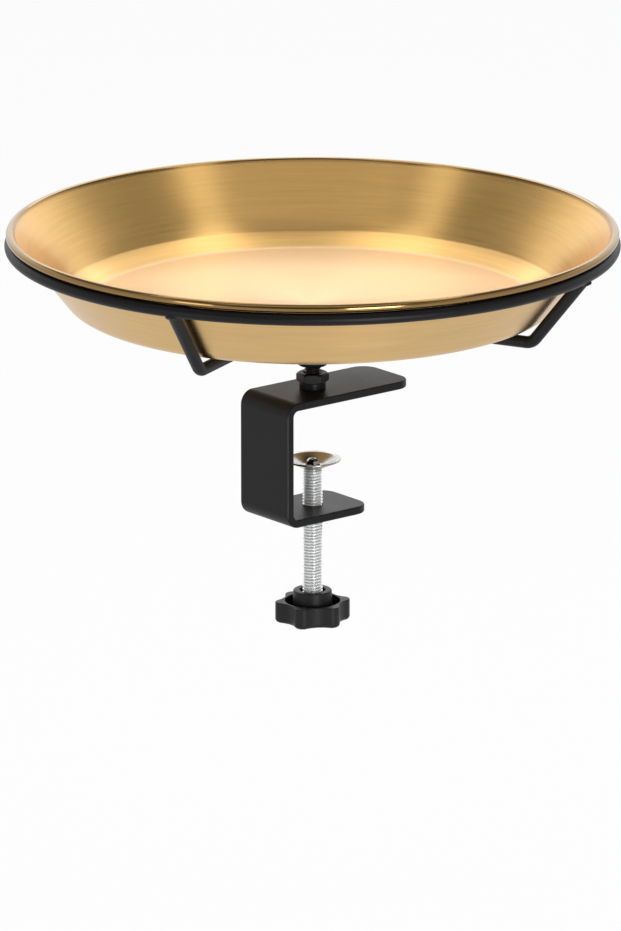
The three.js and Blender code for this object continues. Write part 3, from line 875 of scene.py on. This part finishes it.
def bar_stations(inset):
    """(length, half width) along the flat bar, drawn in by an inset, with round corners at both ends."""
    corner = FLANGE_CORNER - inset
    straight = BAR_HALF_WIDTH - FLANGE_CORNER
    turns = swings(QUARTER, FLANGE_CORNER_STEPS)
    end = [(FLANGE_CORNER - corner * math.cos(a), straight + corner * math.sin(a)) for a in turns]
    bends = [TOP_LENGTH + u for u in swings(BEND_LENGTH, BEND_STEPS)]
    bends += [u + BEND_LENGTH + BACK_LENGTH for u in bends]
    middle = [(u, BAR_HALF_WIDTH - inset) for u in bends]
    return end + middle + [(BAR_LENGTH - u, half) for u, half in reversed(end)]


def bracket_mesh():
    """The bar in layers from its inner to its outer face, each layer following the bends."""
    turns = swings(QUARTER, BAR_EDGE_STEPS)
    layers = [(BAR_EDGE * (1 - math.sin(a)), BAR_EDGE * (1 - math.cos(a))) for a in turns]
    layers += [(inset, BAR_THICKNESS - height) for inset, height in reversed(layers)]
    rings = []
    for inset, height in layers:
        left, right = [], []
        for u, half in bar_stations(inset):
            place, way = on_bar(u)
            point = place + way * height
            left.append(point + Vector((0, half, 0)))
            right.append(point - Vector((0, half, 0)))
        rings.append(left + right[::-1])
    verts, faces = loft(rings)
    count = len(rings[0])
    for base in (0, len(verts) - count):
        for k in range(count // 2 - 1):
            faces.append([base + k, base + k + 1, base + count - 2 - k, base + count - 1 - k])
    return verts, faces


def make_bracket():
    """The bent bar, drilled through its bottom flange for the clamp screw."""
    bracket = piece("clamp_bracket", bracket_mesh(), "clamp", "black_coat", ["clamp_bracket"])
    drill = bpy.data.meshes.new("drill")
    low, high = BAR_LOW.z - BAR_THICKNESS, JAW_BOTTOM + BAR_THICKNESS
    verts, faces = revolve([(0, low), (HOLE_RADIUS, low), (HOLE_RADIUS, high), (0, high)], segments=64)
    drill.from_pydata([tuple(v) for v in verts], [], faces)
    cutter = bpy.data.objects.new("drill", drill)
    bpy.context.scene.collection.objects.link(cutter)
    hole = bracket.modifiers.new("hole", "BOOLEAN")
    hole.object = cutter
    hole.solver = "EXACT"
    weighted = bracket.modifiers["weighted normals"]
    weighted.show_viewport = False
    bpy.context.view_layer.update()
    drilled = bracket.evaluated_get(bpy.context.evaluated_depsgraph_get())
    bracket.data = bpy.data.meshes.new_from_object(drilled)
    bracket.data.set_sharp_from_angle(angle=SHARP)
    bracket.modifiers.remove(hole)
    weighted.show_viewport = True
    bpy.data.objects.remove(cutter)


# Clamp screw, pad and knob

def make_screw():
    """A threaded rod, the spigot that the pad swivels on, and the head peened over the pad."""
    thread = thread_mesh(SCREW_RADIUS, SCREW_PITCH, SCREW_LOW.z, SHOULDER, SCREW_CHAMFER)
    piece("clamp_screw", thread, "screw", "zinc_plate", ["clamp_screw"])
    spigot = [(0, SHOULDER), (SPIGOT_RADIUS, SHOULDER), (SPIGOT_RADIUS, PEEN_BOTTOM), (0, PEEN_BOTTOM)]
    piece("screw_spigot", revolve(spigot, segments=48), "screw", "zinc_plate", ["clamp_screw"])
    edge = PEEN_BOTTOM + PEEN_EDGE
    peened = [(0, PEEN_BOTTOM), (PEEN_RADIUS, PEEN_BOTTOM)]
    peened += [(PEEN_RADIUS * out, edge + (PEEN_TOP - edge) * up) for out, up in PEEN_FORM]
    head = revolve(peened, PEEN_FACETS)
    piece("screw_peening", head, "screw", "bright_nickel", ["clamp_screw"], PEEN_SHARP)


def make_pad():
    """A pressed washer: flat land, steep cup and a broad lip with a round edge."""
    lip_level = PAD_TOP - PAD_SHEET
    cup_level = PAD_BOTTOM + PAD_CUP_RISE
    half = PAD_SHEET / 2
    profile = rounded([
        (PAD_BORE, PAD_BOTTOM, PAD_BORE_EDGE),
        (PAD_LAND, PAD_BOTTOM, PAD_ROUNDING),
        (PAD_CUP, cup_level, PAD_ROUNDING),
        (PAD_RADIUS, lip_level, PAD_LIP_EDGE),
        (PAD_RADIUS, PAD_TOP, PAD_LIP_EDGE),
        (PAD_CUP - half, cup_level + PAD_SHEET, PAD_ROUNDING),
        (PAD_LAND - half, PAD_BOTTOM + PAD_SHEET, PAD_ROUNDING),
        (PAD_BORE, PAD_BOTTOM + PAD_SHEET, PAD_BORE_EDGE),
    ], steps=8, closed=True)
    washer = revolve(profile, segments=128, closed=True)
    piece("pressure_pad", washer, "pad", "bright_nickel", ["pressure_pad"])


def knob_outline():
    """(point, outward normal) pairs round the knob: convex lobes and concave valleys that touch."""
    half = math.pi / KNOB_LOBES
    centre = KNOB_TIP - KNOB_LOBE
    across = centre * math.cos(half)
    gap = centre ** 2 + KNOB_VALLEY ** 2 - 2 * KNOB_VALLEY * across
    hollow = (gap - KNOB_LOBE ** 2) / (2 * (across + KNOB_LOBE - KNOB_VALLEY))
    far = KNOB_VALLEY + hollow
    meet = math.atan2(far * math.sin(half), far * math.cos(half) - centre)
    spread = half - meet
    outline = []
    for i in range(KNOB_LOBES):
        turn = KNOB_ANGLE + 2 * half * i
        lobe = heading(turn) * centre
        for swing in swings(2 * meet, LOBE_STEPS)[:-1]:
            way = heading(turn - meet + swing)
            outline.append((lobe + way * KNOB_LOBE, way))
        valley = heading(turn + half) * far
        for swing in swings(2 * spread, VALLEY_STEPS)[:-1]:
            way = heading(turn + half + math.pi - spread + swing)
            outline.append((valley + way * hollow, -way))
    return outline


def knob_top():
    """The knob's upper side as a profile: rim, recess, tapered hub, mouth, and the bush's pocket."""
    return rounded([
        (KNOB_RECESS + KNOB_LIP, KNOB_RIM, 0),
        (KNOB_RECESS, KNOB_RIM, RECESS_EDGE),
        (KNOB_RECESS, KNOB_FLOOR, RECESS_CORNER),
        (HUB_FOOT, KNOB_FLOOR, RECESS_CORNER),
        (HUB_RADIUS, KNOB_HIGH.z, HUB_EDGE),
        (MOUTH_RADIUS, KNOB_HIGH.z, MOUTH_EDGE),
        (MOUTH_RADIUS, POCKET_TOP, 0),
        (POCKET_RADIUS, POCKET_TOP, 0),
        (POCKET_RADIUS, POCKET_BOTTOM, 0),
    ])


def make_knob():
    """A six-lobed star, dimpled underneath, with round edges and a hollow hub in a recess."""
    outline = knob_outline()
    angles = [math.atan2(p.y, p.x) for p, _ in outline]
    turns = swings(QUARTER, KNOB_EDGE_STEPS)
    dimple = KNOB_LOW.z + KNOB_DIMPLE

    def star(inset, z):
        return [Vector((p.x, p.y, z)) - way * inset for p, way in outline]

    rings = [
        [Vector((0, 0, dimple))],
        level_ring(angles, HUB_RADIUS, dimple),
        level_ring(angles, HUB_FOOT, KNOB_LOW.z),
        *[star(KNOB_EDGE * (1 - math.sin(a)), KNOB_LOW.z + KNOB_EDGE * (1 - math.cos(a))) for a in turns],
        *[star(KNOB_LIP * (1 - math.cos(a)), KNOB_RIM - KNOB_LIP * (1 - math.sin(a))) for a in turns],
        *[level_ring(angles, r, z) for r, z in knob_top()],
        [Vector((0, 0, POCKET_BOTTOM))],
    ]
    piece("star_knob", loft(rings), "screw", "knob_plastic", ["star_knob"])


def make_bush():
    """The metal bush in the knob's hub."""
    profile = rounded([
        (BUSH_BORE, BUSH_LOW.z, 0),
        (BUSH_HIGH.x, BUSH_LOW.z, BUSH_FOOT_EDGE),
        (BUSH_HIGH.x, BUSH_HIGH.z, BUSH_TOP_EDGE),
        (BUSH_BORE, BUSH_HIGH.z, BUSH_TOP_EDGE),
    ], closed=True)
    bush = revolve(profile, segments=72, closed=True)
    piece("knob_insert", bush, "screw", "zinc_plate", ["knob_insert"])


# Studio

def camera_axes():
    """The view's right, level forward and up directions."""
    return heading(VIEW_AZIMUTH), heading(VIEW_AZIMUTH + QUARTER), Vector((0, 0, 1))


def make_camera():
    right, ahead, up = camera_axes()
    target = Vector((0, 0, AIM_LEVEL)) + right * AIM_SIDE
    back = up * math.sin(VIEW_ELEVATION) - ahead * math.cos(VIEW_ELEVATION)
    data = bpy.data.cameras.new("camera")
    data.sensor_width = SENSOR_WIDTH
    data.lens = FOCAL_PIXELS / IMAGE_HEIGHT * SENSOR_WIDTH
    data.clip_end = VIEW_END
    camera = bpy.data.objects.new("camera", data)
    camera.location = target + back * VIEW_DISTANCE
    camera.rotation_euler = back.to_track_quat("Z", "Y").to_euler()
    bpy.context.scene.collection.objects.link(camera)
    bpy.context.scene.camera = camera


def softbox(name, aim, place, size, radiance, spin=0):
    """A soft lamp at a (right, ahead, up) place in the view's level axes, spun by some degrees."""
    axes = camera_axes()
    where = sum((axis * part for axis, part in zip(axes, place)), Vector())
    target = sum((axis * part for axis, part in zip(axes, aim)), Vector())
    width, length = size
    data = bpy.data.lights.new(name, "AREA")
    data.shape = "RECTANGLE"
    data.size = width
    data.size_y = length
    data.energy = radiance * math.pi * width * length
    lamp = bpy.data.objects.new(name, data)
    lamp.location = where
    look = (where - target).to_track_quat("Z", "Y").to_matrix()
    lamp.rotation_euler = (look @ Matrix.Rotation(math.radians(spin), 3, "Z")).to_euler()
    bpy.context.scene.collection.objects.link(lamp)


def make_lamps():
    softbox("left softbox", AT_DISH, (-0.66, -0.07, 1.24), size=(0.22, 0.9), radiance=1.3, spin=28)
    softbox("right softbox", AT_DISH, (0.58, -0.06, 1.23), size=(0.25, 0.9), radiance=1.25, spin=-54)
    softbox("overhead left softbox", AT_DISH, (-0.39, 0.38, 1.45), size=(0.46, 0.6), radiance=1.45, spin=-72)
    softbox("overhead right softbox", AT_DISH, (0.49, 0.36, 1.39), size=(0.3, 0.6), radiance=1.7, spin=79)
    softbox("front softbox", AT_DISH, (0, -0.77, 1.28), size=(1.5, 0.62), radiance=0.84)
    softbox("back softbox", AT_DISH, (0, 1.18, 1.24), size=(1.2, 1.24), radiance=2.1)
    softbox("low left softbox", AT_CLAMP, (-0.84, -0.93, -0.05), size=(0.3, 0.5), radiance=3.6)
    softbox("low right softbox", AT_CLAMP, (0.46, -1.17, -0.05), size=(0.4, 0.5), radiance=13.5)


def seen_directly(tree):
    """1 for rays from the camera, off gloss and through glass, else 0."""
    path = add_node(tree, "ShaderNodeLightPath", {})
    result = path.outputs["Is Camera Ray"]
    for name in ("Is Glossy Ray", "Is Transmission Ray"):
        either = add_node(tree, "ShaderNodeMath", {0: result, 1: path.outputs[name]}, operation="MAXIMUM")
        result = either.outputs[0]
    return result


def graded(tree, value, levels):
    """Brightness that follows a value between the given (value, brightness) levels."""
    low, high = levels[0][0], levels[-1][0]
    share = add_node(tree, "ShaderNodeMapRange", {"Value": value, "From Min": low, "From Max": high})
    ramp = add_node(tree, "ShaderNodeValToRGB", {"Fac": share.outputs["Result"]})
    for _ in levels[2:]:
        ramp.color_ramp.elements.new(1.0)
    for element, (place, level) in zip(ramp.color_ramp.elements, levels):
        element.position = (place - low) / (high - low)
        element.color = (level, level, level, 1)
    return ramp.outputs["Color"]


def make_world():
    """A studio dome: white round the horizon, greyer above, brighter behind and dim on the near side."""
    world = bpy.data.worlds.new("studio")
    bpy.context.scene.world = world
    world.use_nodes = True
    tree = world.node_tree
    tree.nodes.clear()
    way = add_node(tree, "ShaderNodeTexCoord", {}).outputs["Generated"]
    height = add_node(tree, "ShaderNodeSeparateXYZ", {0: way}).outputs["Z"]
    ahead = camera_axes()[1]
    facing = add_node(tree, "ShaderNodeVectorMath", {0: way, 1: ahead}, operation="DOT_PRODUCT")
    by_height = graded(tree, height, DOME_LEVELS)
    by_facing = graded(tree, facing.outputs["Value"], FACING_LEVELS)
    both = add_node(tree, "ShaderNodeVectorMath", {0: by_height, 1: by_facing}, operation="MULTIPLY")
    colour = both.outputs["Vector"]
    light = add_node(tree, "ShaderNodeBackground", {"Color": colour, "Strength": DOME_STRENGTH})
    add_node(tree, "ShaderNodeOutputWorld", {"Surface": light.outputs[0]})


def floor_finish():
    """Pale matt floor, lifted towards white where it is seen, and clear from below."""
    material = bpy.data.materials.new("pale floor")
    material.use_nodes = True
    tree = material.node_tree
    tree.nodes.clear()

    def blend(share, first, second):
        shaders = {1: first.outputs[0], 2: second.outputs[0]}
        return add_node(tree, "ShaderNodeMixShader", {0: share, **shaders})

    matt = add_node(tree, "ShaderNodeBsdfDiffuse", {"Color": FLOOR_COLOUR})
    white = add_node(tree, "ShaderNodeEmission", {})
    lift = add_node(tree, "ShaderNodeMath", {0: seen_directly(tree), 1: FLOOR_LIFT}, operation="MULTIPLY")
    lifted = blend(lift.outputs[0], matt, white)
    below = add_node(tree, "ShaderNodeNewGeometry", {}).outputs["Backfacing"]
    sided = blend(below, lifted, add_node(tree, "ShaderNodeBsdfTransparent", {}))
    add_node(tree, "ShaderNodeOutputMaterial", {"Surface": sided.outputs[0]})
    return material


def make_floor():
    half = FLOOR_SIZE / 2
    data = bpy.data.meshes.new("floor")
    corners = [(-half, -half), (half, -half), (half, half), (-half, half)]
    data.from_pydata([(x, y, FLOOR_LEVEL) for x, y in corners], [], [[0, 1, 2, 3]])
    data.materials.append(floor_finish())
    floor = bpy.data.objects.new("floor", data)
    bpy.context.scene.collection.objects.link(floor)


bpy.context.scene.view_settings.view_transform = "Standard"
make_camera()
make_dish()
make_ring()
make_arms()
make_boss()
make_stud()
make_nut()
make_bracket()
make_screw()
make_pad()
make_knob()
make_bush()
make_lamps()
make_world()
make_floor()
